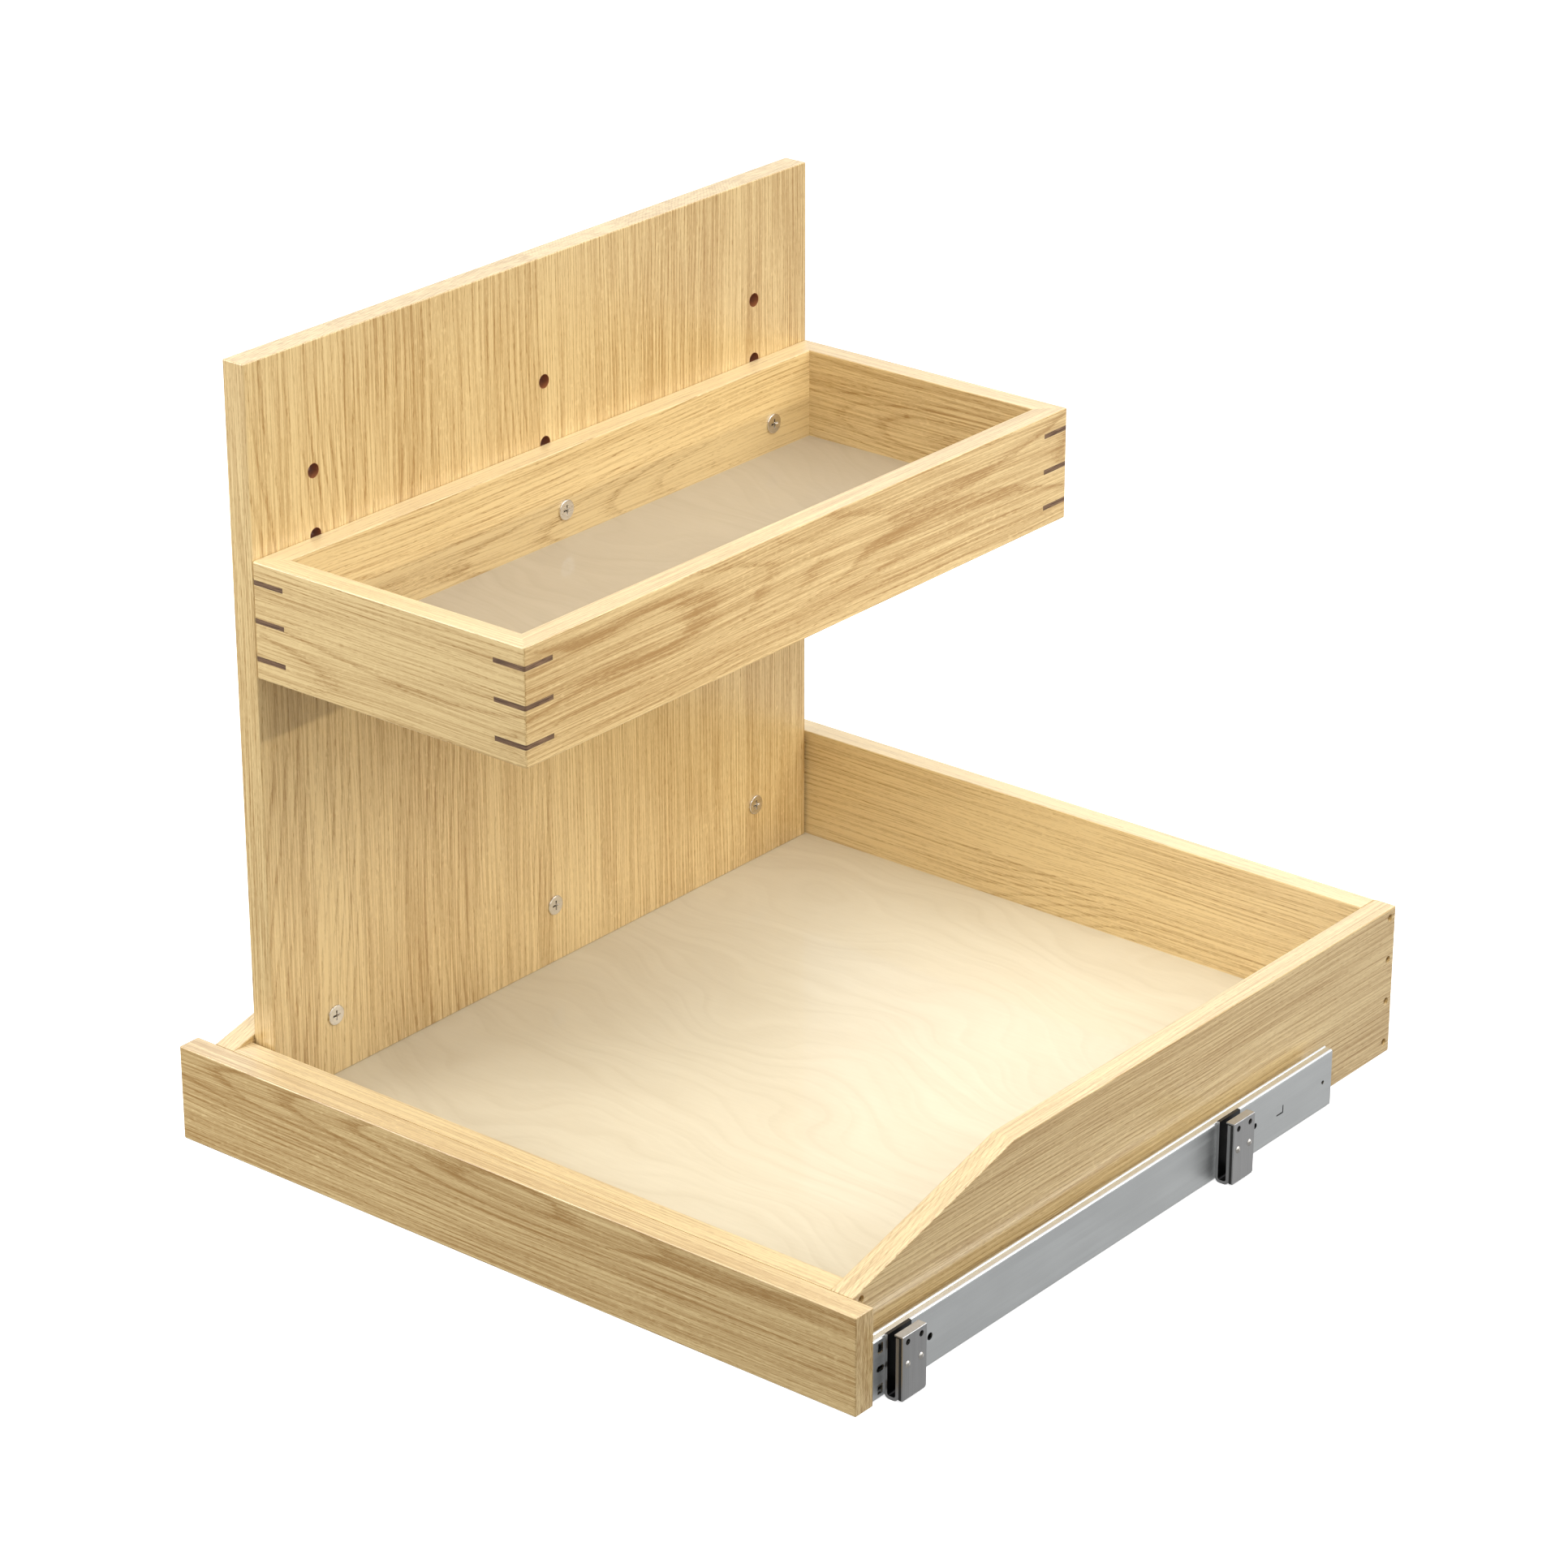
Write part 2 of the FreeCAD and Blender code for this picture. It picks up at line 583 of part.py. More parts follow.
def cabinet_member():
    """Channel whose flanges end in a raised bead and a short lip that turns in over the balls."""
    turn = math.radians(BEAD_TURN)
    bead_foot_s = BEAD_S + (BEAD_FOOT_RADIUS + BEAD_RADIUS) * math.sin(turn)
    bead_mid_h = FLANGE_MID + BEAD_FOOT_RADIUS - (BEAD_FOOT_RADIUS + BEAD_RADIUS) * math.cos(turn)
    flange = CABINET_WEB_S - CABINET_BEND - bead_foot_s
    half_moves = [("bend", CABINET_BEND, 90), ("run", flange), ("bend", BEAD_FOOT_RADIUS, -BEAD_TURN),
                  ("bend", BEAD_RADIUS, 90 + BEAD_TURN), ("run", LIP_LENGTH)]
    moves = there_and_back(half_moves, 2 * (FLANGE_MID - CABINET_BEND))
    start = (BEAD_S - BEAD_RADIUS, LIP_LENGTH - bead_mid_h)
    member = slide_strip(start, -90, moves, CABINET_MEMBER_START, CABINET_MEMBER_LENGTH)
    cuts = [web_slot(side * WEB_SLOT_RISE, WEB_SLOT_WIDTH, WEB_SLOT_HEIGHT, WEB_SLOT_ROUNDING)
            for side in (-1, 1)]
    cuts.append(web_slot(0, MIDDLE_SLOT_WIDTH, MIDDLE_SLOT_HEIGHT, MIDDLE_SLOT_ROUNDING))
    cuts += [web_hole(back, radius) for back, radius in WEB_HOLES]
    cuts.append(lanced_slit())
    return cut_all(member, cuts)


def intermediate_member():
    flange = INTERMEDIATE_WEB_S - INTERMEDIATE_BEND - OUTER_BALL_S
    half_moves = [("bend", INTERMEDIATE_BEND, 90), ("run", flange),
                  ("bend", RACE_RADIUS, -45), ("bend", RACE_RADIUS, 135)]
    moves = there_and_back(half_moves, 2 * (OUTER_BALL_H - RACE_RADIUS - INTERMEDIATE_BEND))
    start = (INNER_BALL_S - RACE_RADIUS, -INNER_BALL_H)
    member = slide_strip(start, -90, moves, INTERMEDIATE_START, INTERMEDIATE_LENGTH)
    web_inner = OUT + INTERMEDIATE_WEB_S - SLIDE_GAUGE / 2
    openings_in_front = WEB_HOLES + ((TAB_BACK, TAB_LENGTH / 2),)
    return cut_all(member, [rod(web_inner, back, SLIDE_MID, SLIDE_GAUGE, radius + PORT_MARGIN)
                            for back, radius in openings_in_front])


def drawer_member():
    web_s = SLIDE_GAUGE / 2
    flange = INNER_BALL_S - web_s - DRAWER_BEND
    half_moves = [("bend", DRAWER_BEND, -90), ("run", flange),
                  ("bend", RACE_RADIUS, DRAWER_FLANGE_TURN)]
    web = 2 * (INNER_BALL_H - RACE_RADIUS - DRAWER_BEND)
    turn = math.radians(DRAWER_FLANGE_TURN)
    start = (INNER_BALL_S + RACE_RADIUS * math.sin(turn), -INNER_BALL_H + RACE_RADIUS * math.cos(turn))
    member = slide_strip(start, 180 - DRAWER_FLANGE_TURN, there_and_back(half_moves, web),
                         DRAWER_MEMBER_START, DRAWER_MEMBER_LENGTH)
    for back in SLIDE_SCREW_BACKS:
        member = member.cut(rod(OUT, back, SLIDE_MID, 2 * SLIDE_GAUGE, SCREW_RADIUS + FIT_CLEARANCE))
    return member


def slide_screws(extra=0.0):
    """Pan head screws through the drawer member's web into the side; with extra, their holes."""
    face = OUT + SLIDE_GAUGE
    head_top = face + SLIDE_SCREW_HEAD_HEIGHT
    screws = []
    for back in SLIDE_SCREW_BACKS:
        shank = rod(face, back, SLIDE_MID, SLIDE_SCREW_LENGTH, SCREW_RADIUS + extra, -1)
        if extra:
            screws.append(shank)
            continue
        head = rod(face, back, SLIDE_MID, SLIDE_SCREW_HEAD_HEIGHT, SLIDE_SCREW_HEAD_RADIUS)
        head = eased(head, SLIDE_SCREW_HEAD_ROUNDING, lambda p: near(p.x, head_top))
        recess = cross_recess(head_top, back, SLIDE_MID, SLIDE_SCREW_RECESS_DEPTH, SLIDE_SCREW_RECESS_REACH)
        screws.append(head.fuse(shank).cut(recess))
    return screws


def ball_backs():
    first = CAGE_START + (CAGE_LENGTH - (BALLS_PER_ROW - 1) * BALL_PITCH) / 2
    return [first + k * BALL_PITCH for k in range(BALLS_PER_ROW)]


def ball_rows(s, h):
    balls = []
    for back in ball_backs():
        for side in (-1, 1):
            balls.append(Part.makeSphere(BALL_RADIUS, Vector(OUT + s, at(back), SLIDE_MID + side * h)))
    return balls


def notched(strip, s, h):
    """Cut a ball pocket through a cage strip at each ball."""
    for back in ball_backs():
        foot = Vector(OUT + s, at(back), SLIDE_MID + h - POCKET_REACH)
        strip = strip.cut(Part.makeCylinder(BALL_RADIUS + POCKET_CLEARANCE, 2 * POCKET_REACH, foot))
    return strip


def outer_cage():
    """Two flat retainer strips, above and below the web of the intermediate member."""
    strips = []
    for side in (-1, 1):
        low, high = sorted((side * (OUTER_BALL_H - OUTER_CAGE_GAUGE), side * OUTER_BALL_H))
        strip = slab(OUT + OUTER_CAGE_LOW_S, OUT + OUTER_CAGE_HIGH_S,
                     at(CAGE_START), at(CAGE_START + CAGE_LENGTH), SLIDE_MID + low, SLIDE_MID + high)
        strips.append(notched(strip, OUTER_BALL_S, side * OUTER_BALL_H))
    return strips


def inner_cage():
    """U-shaped retainer around the drawer member, with a ball pocket strip at its top and bottom."""
    strip_h = INNER_BALL_H - INNER_CAGE_SET
    edge_s = INNER_BALL_S - INNER_CAGE_LAP
    arm = ("run", INNER_CAGE_WEB_S - edge_s - INNER_CAGE_BEND)
    bend = ("bend", INNER_CAGE_BEND, 90)
    moves = [arm, bend, ("run", 2 * (strip_h - INNER_CAGE_BEND)), bend, arm]
    cage = bent_strip((edge_s, -strip_h), 0, moves, INNER_CAGE_GAUGE,
                      CAGE_START, CAGE_LENGTH, OUT, SLIDE_MID)
    for side in (-1, 1):
        cage = notched(cage, INNER_BALL_S, side * INNER_BALL_H)
    return cage


def stop_bumper():
    """Plastic buffer in the back end of the cabinet member, behind the intermediate member."""
    start = INTERMEDIATE_START + INTERMEDIATE_LENGTH + BUMPER_GAP
    end = CABINET_MEMBER_START + CABINET_MEMBER_LENGTH
    inner = OUT + BUMPER_INNER_S
    block = slab(inner, OUT + SLIDE_THICKNESS - SLIDE_GAUGE, at(start), at(end),
                 SLIDE_MID - BUMPER_HALF_HEIGHT, SLIDE_MID + BUMPER_HALF_HEIGHT)
    return eased(block, BUMPER_ROUNDING, lambda p: near(p.x, inner))


# ---------------------------------------------------------------- clip brackets on the slides
def plate_hole_backs(start):
    middle = start + BRACKET_WIDTH / 2
    return [middle - PLATE_HOLE_SPACING / 2, middle + PLATE_HOLE_SPACING / 2]


def bracket_cutters(start):
    """Screw holes and rivet holes that pass through the outer leg, the pad and the plate."""
    reach = PLATE_OUTER - LEG_INNER
    cutters = []
    for back in plate_hole_backs(start):
        cutters.append(rod(LEG_INNER, back, PLATE_HOLE_HEIGHT, reach, PLATE_HOLE_RADIUS))
        cutters.append(rod(LEG_INNER, back, RIVET_HEIGHT, reach, RIVET_RADIUS + FIT_CLEARANCE))
    return cutters


def bracket_channel(start):
    leg = CHANNEL_TOP - CHANNEL_GAUGE / 2 - CHANNEL_BEND
    web = CHANNEL_DEPTH - CHANNEL_GAUGE - 2 * CHANNEL_BEND
    bend = ("bend", CHANNEL_BEND, 90)
    moves = [("run", leg), bend, ("run", web), bend, ("run", leg)]
    channel = bent_strip((CHANNEL_GAUGE / 2, CHANNEL_TOP), -90, moves, CHANNEL_GAUGE,
                         start, BRACKET_WIDTH, BRACKET_INNER, 0)
    return cut_all(channel, bracket_cutters(start))


def bracket_pad(start):
    pad = slab(PAD_INNER, PLATE_INNER, at(start), at(start + BRACKET_WIDTH), PLATE_BOTTOM,
               PLATE_TOP - PLATE_THICKNESS)
    return cut_all(pad, bracket_cutters(start))


def bracket_plate(start):
    """Outer plate, folded inwards over the pad and the outer leg of the channel."""
    end = start + BRACKET_WIDTH
    face = slab(PLATE_INNER, PLATE_OUTER, at(start), at(end), PLATE_BOTTOM, PLATE_TOP)
    face = eased(face, PLATE_CORNER, lambda p: near(p.y, at(end)) and near(p.z, PLATE_BOTTOM))
    fold = slab(LEG_INNER - PLATE_FOLD_LAP, PLATE_OUTER, at(start), at(end),
                PLATE_TOP - PLATE_THICKNESS, PLATE_TOP)
    plate = face.fuse(fold).removeSplitter()
    plate = eased(plate, PLATE_FOLD_ROUNDING, lambda p: near(p.x, PLATE_OUTER) and near(p.z, PLATE_TOP))
    return cut_all(plate, bracket_cutters(start))


def bracket_rivets(start):
    rivets = []
    tail_x = LEG_INNER - RIVET_TAIL
    dome_radius = (RIVET_HEAD_RADIUS ** 2 + RIVET_HEAD_HEIGHT ** 2) / (2 * RIVET_HEAD_HEIGHT)
    for back in plate_hole_backs(start):
        centre = Vector(PLATE_OUTER + RIVET_HEAD_HEIGHT - dome_radius, at(back), RIVET_HEIGHT)
        dome = Part.makeSphere(dome_radius, centre)
        dome = dome.common(rod(PLATE_OUTER, back, RIVET_HEIGHT, RIVET_HEAD_HEIGHT, RIVET_HEAD_RADIUS))
        shank = rod(tail_x, back, RIVET_HEIGHT, PLATE_OUTER - tail_x, RIVET_RADIUS)
        foot = rod(tail_x, back, RIVET_HEIGHT, RIVET_TAIL, RIVET_HEAD_RADIUS)
        rivets.append(dome.fuse([shank, foot]))
    return rivets


# ---------------------------------------------------------------- all sub-parts
def all_parts():
    parts = {
        "front_panel": front_panel(),
        "inner_front_rail": inner_front_rail(),
        "left_side": left_side(),
        "right_side": drilled_side(),
        "rear_panel": rear_panel(),
        "tray_floor": tray_floor(),
        "upright_panel": upright_panel(),
        "front_panel_screws": [panel_screw(x) for x in panel_screw_places()],
        "upright_bolts": bolt_row(UPRIGHT_RIGHT, LOWER_BOLT_HEIGHT),
        "upright_sleeve_nuts": sleeve_row(-OUT, LOWER_BOLT_HEIGHT),
        "shelf_bolts": bolt_row(SHELF_LEFT + BOARD, FIRST_HOLE_ROW),
        "shelf_sleeve_nuts": sleeve_row(UPRIGHT_LEFT, FIRST_HOLE_ROW),
    }
    walls, keys = shelf_parts()
    parts.update(walls)
    parts.update(keys)
    rear, front = side_screw_places()
    right_handed = {
        "side_screws": [side_screw(back, z) for back, z in rear + front],
        "slide_screws": slide_screws(),
        "drawer_member": [drawer_member()],
        "intermediate_member": [intermediate_member()],
        "cabinet_member": [cabinet_member()],
        "inner_cage": [inner_cage()],
        "outer_cage": outer_cage(),
        "inner_balls": ball_rows(INNER_BALL_S, INNER_BALL_H),
        "outer_balls": ball_rows(OUTER_BALL_S, OUTER_BALL_H),
        "stop_bumper": [stop_bumper()],
    }
    for place, start in BRACKET_STARTS.items():
        right_handed["bracket_channel_" + place] = [bracket_channel(start)]
        right_handed["bracket_pad_" + place] = [bracket_pad(start)]
        right_handed["bracket_plate_" + place] = [bracket_plate(start)]
        right_handed["bracket_rivets_" + place] = bracket_rivets(start)
    for name, solids in right_handed.items():
        parts[name + "_right"] = solids
        parts[name + "_left"] = [mirrored(solid) for solid in solids]
    return parts


def write(parts):
    os.makedirs("parts", exist_ok=True)
    for name, shape in parts.items():
        if isinstance(shape, list):
            shape = Part.makeCompound(shape) if len(shape) > 1 else shape[0]
        shape.exportStep(f"parts/{name}.step")
        box = shape.BoundBox
        print(f"{name:30s} solids {len(shape.Solids):2d} valid {shape.isValid()}"
              f"  volume {shape.Volume:12.1f}"
              f"  x {box.XMin:8.2f} {box.XMax:8.2f}  y {box.YMin:8.2f} {box.YMax:8.2f}"
              f"  z {box.ZMin:7.2f} {box.ZMax:7.2f}")


write(all_parts())
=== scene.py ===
import json
import math

import bpy
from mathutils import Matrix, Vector


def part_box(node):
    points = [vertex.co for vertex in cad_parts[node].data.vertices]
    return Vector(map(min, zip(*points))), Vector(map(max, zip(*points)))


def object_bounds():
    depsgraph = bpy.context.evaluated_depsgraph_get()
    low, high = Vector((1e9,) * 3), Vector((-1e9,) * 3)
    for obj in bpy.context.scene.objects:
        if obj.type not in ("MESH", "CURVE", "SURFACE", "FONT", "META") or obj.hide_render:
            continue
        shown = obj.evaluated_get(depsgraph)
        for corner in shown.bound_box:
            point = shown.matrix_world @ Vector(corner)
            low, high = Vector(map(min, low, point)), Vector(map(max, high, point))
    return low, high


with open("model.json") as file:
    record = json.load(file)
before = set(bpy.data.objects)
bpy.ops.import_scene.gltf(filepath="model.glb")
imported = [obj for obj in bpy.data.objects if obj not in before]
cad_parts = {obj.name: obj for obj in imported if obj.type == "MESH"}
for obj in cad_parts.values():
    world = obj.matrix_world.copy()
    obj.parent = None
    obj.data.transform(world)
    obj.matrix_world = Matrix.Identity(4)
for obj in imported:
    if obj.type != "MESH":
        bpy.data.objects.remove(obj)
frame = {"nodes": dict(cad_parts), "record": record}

# Everything is in metres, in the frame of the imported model: +X right, +Y back, +Z up.

NODES = frame["nodes"]
CAD_LOW, CAD_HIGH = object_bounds()

# ---------------------------------------------------------------- camera and light values
CAMERA_AZIMUTH = 39.01
CAMERA_ELEVATION = 23.875
CAMERA_DISTANCE = 2.860
CAMERA_TARGET = Vector((-0.0168, 0.0, 0.1965))
LENS_MM = 114.24
FLOOR_SIZE = 30.0
MIDDLE = Vector((0.0, 0.0, 0.2))
# the tent of light: its strength high up and low down, and the heights between which it changes
TENT_ABOVE = 1.18
TENT_BELOW = 0.30
TENT_CHANGE = (0.05, 0.48)
# a softly lit card that the slides reflect, and how near to its direction it starts and is full
CARD_DIRECTION = Vector((0.35, 0.88, -0.32)).normalized()
CARD_GLOW = 0.48
CARD_EDGE = (0.93, 0.99)
WHITE = (1.0, 1.0, 1.0)
COOL_WHITE = (1.0, 0.99, 0.97)
SOFT_WHITE = (1.0, 0.985, 0.96)
WARM_WHITE = (1.0, 0.95, 0.86)
# the low lamp's beam passes just over the tray's right side
BEAM_FROM = Vector((3.0, 0.10, 0.89))
BEAM_TO = Vector((0.0, 0.10, 1.66))

# ---------------------------------------------------------------- wood values
# Oak boards: the row axis that the grain runs along, how much darker than the average timber the
# board is (less than nought is lighter; this is partly the board's own tone and partly painted light,
# as boards in shade, such as the rear panel and the shelf's back board, are made lighter), and how
# far beside it the middle of its growth rings lies (the further, the straighter its grain).
BOARDS = {
    "front_panel": ("X", 0.18, 0.0),
    "inner_front_rail": ("X", -0.04, 0.06),
    "rear_panel": ("X", -0.22, 0.05),
    "left_side": ("Y", 0.0, 0.0),
    "right_side": ("Y", 0.08, 0.10),
    "upright_panel": ("Z", 0.04, 0.34),
    "shelf_back_board": ("Y", -0.22, 0.0),
    "shelf_outer_board": ("Y", 0.15, 0.0),
    "shelf_front_end": ("X", 0.0, 0.0),
    "shelf_rear_end": ("X", 0.0, 0.0),
}
# how far along the timber each board lies from the one before, and the steps in which their places
# across it, through it and away from its heart differ
BOARD_SHIFT = 1.7
WIDE_STEP = 0.011
THICK_STEP = 0.002
PITH_STEP = 0.030
OAK_LIGHT = (0.740, 0.555, 0.265, 1.0)
OAK_DARK = (0.350, 0.188, 0.042, 1.0)
# the paler colour that the tops lean to, and by how much: a painted sheen, as the light from above
# makes the tops look paler
OAK_TOP_PAINTED_SHEEN = (0.860, 0.760, 0.560, 1.0)
OAK_TOP_SHEEN_SHARE = 0.22
# a face starts to look along an axis, and does so fully, where its normal's part along that axis
# has these values: for wood, and for metal
FACING = (0.80, 0.92)
SIDE_FACING = (0.60, 0.95)
# how much the lines of tops and ends are drawn out across the board
DRAWN_OUT = 0.10
# The marks in the oak: repeats per metre along the grain and across it, the noise's detail and
# roughness, and the noise values between which a mark goes from nought to one.
OAK_MARKS = {
    "patches": (4.0, 34.0, 1.0, 0.5, 0.34, 0.58),
    "lines": (7.0, 820.0, 2.0, 0.6, 0.40, 0.60),
    "hairs": (20.0, 1900.0, 1.0, 0.5, 0.34, 0.66),
    "pores": (190.0, 1900.0, 1.0, 0.5, 0.53, 0.66),
    # painted glints: pale specks painted in the colour as highlights
    "painted_glints": (240.0, 1500.0, 1.0, 0.5, 0.56, 0.68),
    "flecks": (190.0, 330.0, 1.0, 0.5, 0.60, 0.74),
    "fleck_areas": (7.0, 20.0, 0.0, 0.5, 0.50, 0.64),
}
# how much each kind of mark darkens the wood, or lightens it where less than nought; the glints are
# painted highlights
MARK_SHARES = {"rings": 0.32, "lines": 0.40, "hairs": 0.34, "streaks": 0.42, "broad": 0.36,
               "pores": 0.42, "painted_glints": -0.16, "flecks": -0.22, "staves": 0.20}
PLAIN_DARKNESS = 0.22
TONE_SHIFT = 0.06
RING_WIDTH = 0.0019
# where in a ring the dark early wood starts, is full, starts to fade and has gone
EARLY_WOOD = (0.0, 0.10, 0.12, 0.46)
# how far the grain wanders sideways, the growth rings' middle drifts and the rings waver
GRAIN_WANDER = 0.009
RING_DRIFT = 0.04
RING_WAVER = 0.8
# the upright panel is glued up from staves, each cut from another place in the timber
STAVE_WIDTH = 0.085
STAVE_RANDOMNESS = 0.55
STAVE_SHIFT_ALONG = 3.0
STAVE_SHIFT_THICK = 0.7
# a hole of the upright panel's top row, and how the others repeat from it
HOLE_PLACE = next(Vector(mount["pos_m"]) for mount in frame["record"]["mounts"]
                  if mount["name"] == "shelf_hole_top_middle")
HOLE_COLUMN_PITCH = 0.1924
HOLE_ROW_PITCH = 0.038
HOLE_RADIUS = 0.00425
# the holes' walls are darker, for their end grain and as painted shade in the hollows, out to this much
# beyond the radius and this many rows down
DRILLED_OAK_AND_SHADE = (0.340, 0.120, 0.045, 1.0)
HOLE_MARGIN = 0.00012
HOLE_ROWS_BELOW = 2.5
TRAY_BIRCH = ((0.68, 0.610, 0.455, 1.0), (0.49, 0.405, 0.265, 1.0))
SHELF_BIRCH = ((0.46, 0.39, 0.28, 1.0), (0.33, 0.26, 0.17, 1.0))
# birch contour lines: repeats per metre, how far they flow, slant, and how dark they are
CONTOUR_REPEATS = 62.0
CONTOUR_FLOW = 0.22
CONTOUR_SLANT = 0.10
CONTOUR_SHARE = 0.09
# where in a repeat a contour line starts, is full, starts to fade and has gone
CONTOUR_SHAPE = (0.0, 0.08, 0.08, 0.42)
WALNUT_LIGHT = (0.210, 0.125, 0.072, 1.0)
WALNUT_DARK = (0.070, 0.036, 0.020, 1.0)


# ---------------------------------------------------------------- node helpers
class Graph:
    """A short way to write a material's node tree."""

    def __init__(self, name):
        self.material = bpy.data.materials.new(name)
        self.material.use_nodes = True
        self.tree = self.material.node_tree
        self.tree.nodes.clear()
        self.output = self.add("ShaderNodeOutputMaterial")
        self.shader = self.add("ShaderNodeBsdfPrincipled")
        self.link(self.shader.outputs["BSDF"], self.output.inputs["Surface"])

    def add(self, kind, **settings):
        node = self.tree.nodes.new(kind)
        for key, value in settings.items():
            setattr(node, key, value)
        return node

    def link(self, source, target):
        self.tree.links.new(source, target)

    def put(self, value, target):
        """Link a socket, or set a plain number or colour."""
        if isinstance(value, bpy.types.NodeSocket):
            self.link(value, target)
        else:
            target.default_value = value

    def position(self):
        return self.add("ShaderNodeTexCoord").outputs["Object"]

    def math(self, operation, *values, clamp=False):
        node = self.add("ShaderNodeMath", operation=operation, use_clamp=clamp)
        for k, value in enumerate(values):
            self.put(value, node.inputs[k])
        return node.outputs[0]

    def length(self, first, second):
        """Length of the line whose two sides at a right angle are first and second."""
        squares = [self.math("POWER", side, 2.0) for side in (first, second)]
        return self.math("SQRT", self.math("ADD", *squares))

    def split(self, vector):
        node = self.add("ShaderNodeSeparateXYZ")
        self.link(vector, node.inputs[0])
        return node.outputs[0], node.outputs[1], node.outputs[2]

    def join(self, x, y, z):
        node = self.add("ShaderNodeCombineXYZ")
        for k, value in enumerate((x, y, z)):
            self.put(value, node.inputs[k])
        return node.outputs[0]

    def noise(self, vector, scale=1.0, detail=2.0, roughness=0.5):
        node = self.add("ShaderNodeTexNoise")
        self.link(vector, node.inputs["Vector"])
        node.inputs["Scale"].default_value = scale
        node.inputs["Detail"].default_value = detail
        node.inputs["Roughness"].default_value = roughness
        return node.outputs["Fac"]

    def smooth(self, value, low, high, out_low=0.0, out_high=1.0):
        """Smooth step of value from low to high."""
        node = self.add("ShaderNodeMapRange", interpolation_type="SMOOTHSTEP")
        for k, number in enumerate((value, low, high, out_low, out_high)):
            self.put(number, node.inputs[k])
        return node.outputs[0]

    def band(self, value, start, full, fading, gone):
        """Nought to one between start and full, and back to nought between fading and gone."""
        return self.math("MULTIPLY", self.smooth(value, start, full), self.smooth(value, gone, fading))

    def scaled(self, along, wide, thick, along_scale, across_scale):
        """The grain's coordinates, stretched along it and across it."""
        return self.join(self.math("MULTIPLY", along, along_scale),
                         self.math("MULTIPLY", wide, across_scale),
                         self.math("MULTIPLY", thick, across_scale))

    def normal_part(self, component):
        """The face's own normal along one axis: 0 for x, 1 for y and 2 for z."""
        return self.split(self.add("ShaderNodeNewGeometry").outputs["True Normal"])[component]

    def blend(self, factor, first, second):
        node = self.add("ShaderNodeMix", data_type="RGBA")
        self.put(factor, node.inputs["Factor"])
        self.put(first, node.inputs[6])
        self.put(second, node.inputs[7])
        return node.outputs[2]

    def bump(self, height, strength, distance):
        node = self.add("ShaderNodeBump")
        node.inputs["Strength"].default_value = strength
        node.inputs["Distance"].default_value = distance
        self.link(height, node.inputs["Height"])
        self.link(node.outputs["Normal"], self.shader.inputs["Normal"])

    def set(self, **values):
        """Set the shader's plain sockets, with _ for the spaces in their names."""
        for name, value in values.items():
            self.shader.inputs[name.replace("_", " ")].default_value = value


def grain_axes(graph, axis, offset):
    """Coordinates along the grain and the two across it, moved so that each board differs."""
    moved = graph.add("ShaderNodeVectorMath", operation="ADD")
    graph.link(graph.position(), moved.inputs[0])
    moved.inputs[1].default_value = offset
    x, y, z = graph.split(moved.outputs[0])
    if axis == "X":
        return x, z, y
    if axis == "Y":
        return y, z, x
    return z, y, x


# ---------------------------------------------------------------- oak
def hole_walls_end_grain_and_shade(graph):
    """One on the walls of the upright panel's adjusting holes, where end grain and painted shade darken
    them, and nought elsewhere.
    """
    x, y, z = graph.split(graph.position())
    sideways = graph.math("SUBTRACT", y, HOLE_PLACE.y)
    upwards = graph.math("SUBTRACT", z, HOLE_PLACE.z)
    from_column = graph.math("PINGPONG", sideways, HOLE_COLUMN_PITCH / 2)
    from_row = graph.math("PINGPONG", upwards, HOLE_ROW_PITCH / 2)
    distance = graph.length(from_column, from_row)
    near_hole = graph.math("LESS_THAN", distance, HOLE_RADIUS + HOLE_MARGIN)
    below_top = graph.math("LESS_THAN", z, HOLE_PLACE.z + HOLE_ROW_PITCH / 2)
    above_bottom = graph.math("GREATER_THAN", z, HOLE_PLACE.z - HOLE_ROWS_BELOW * HOLE_ROW_PITCH)
    return graph.math("MULTIPLY", near_hole, graph.math("MULTIPLY", below_top, above_bottom))


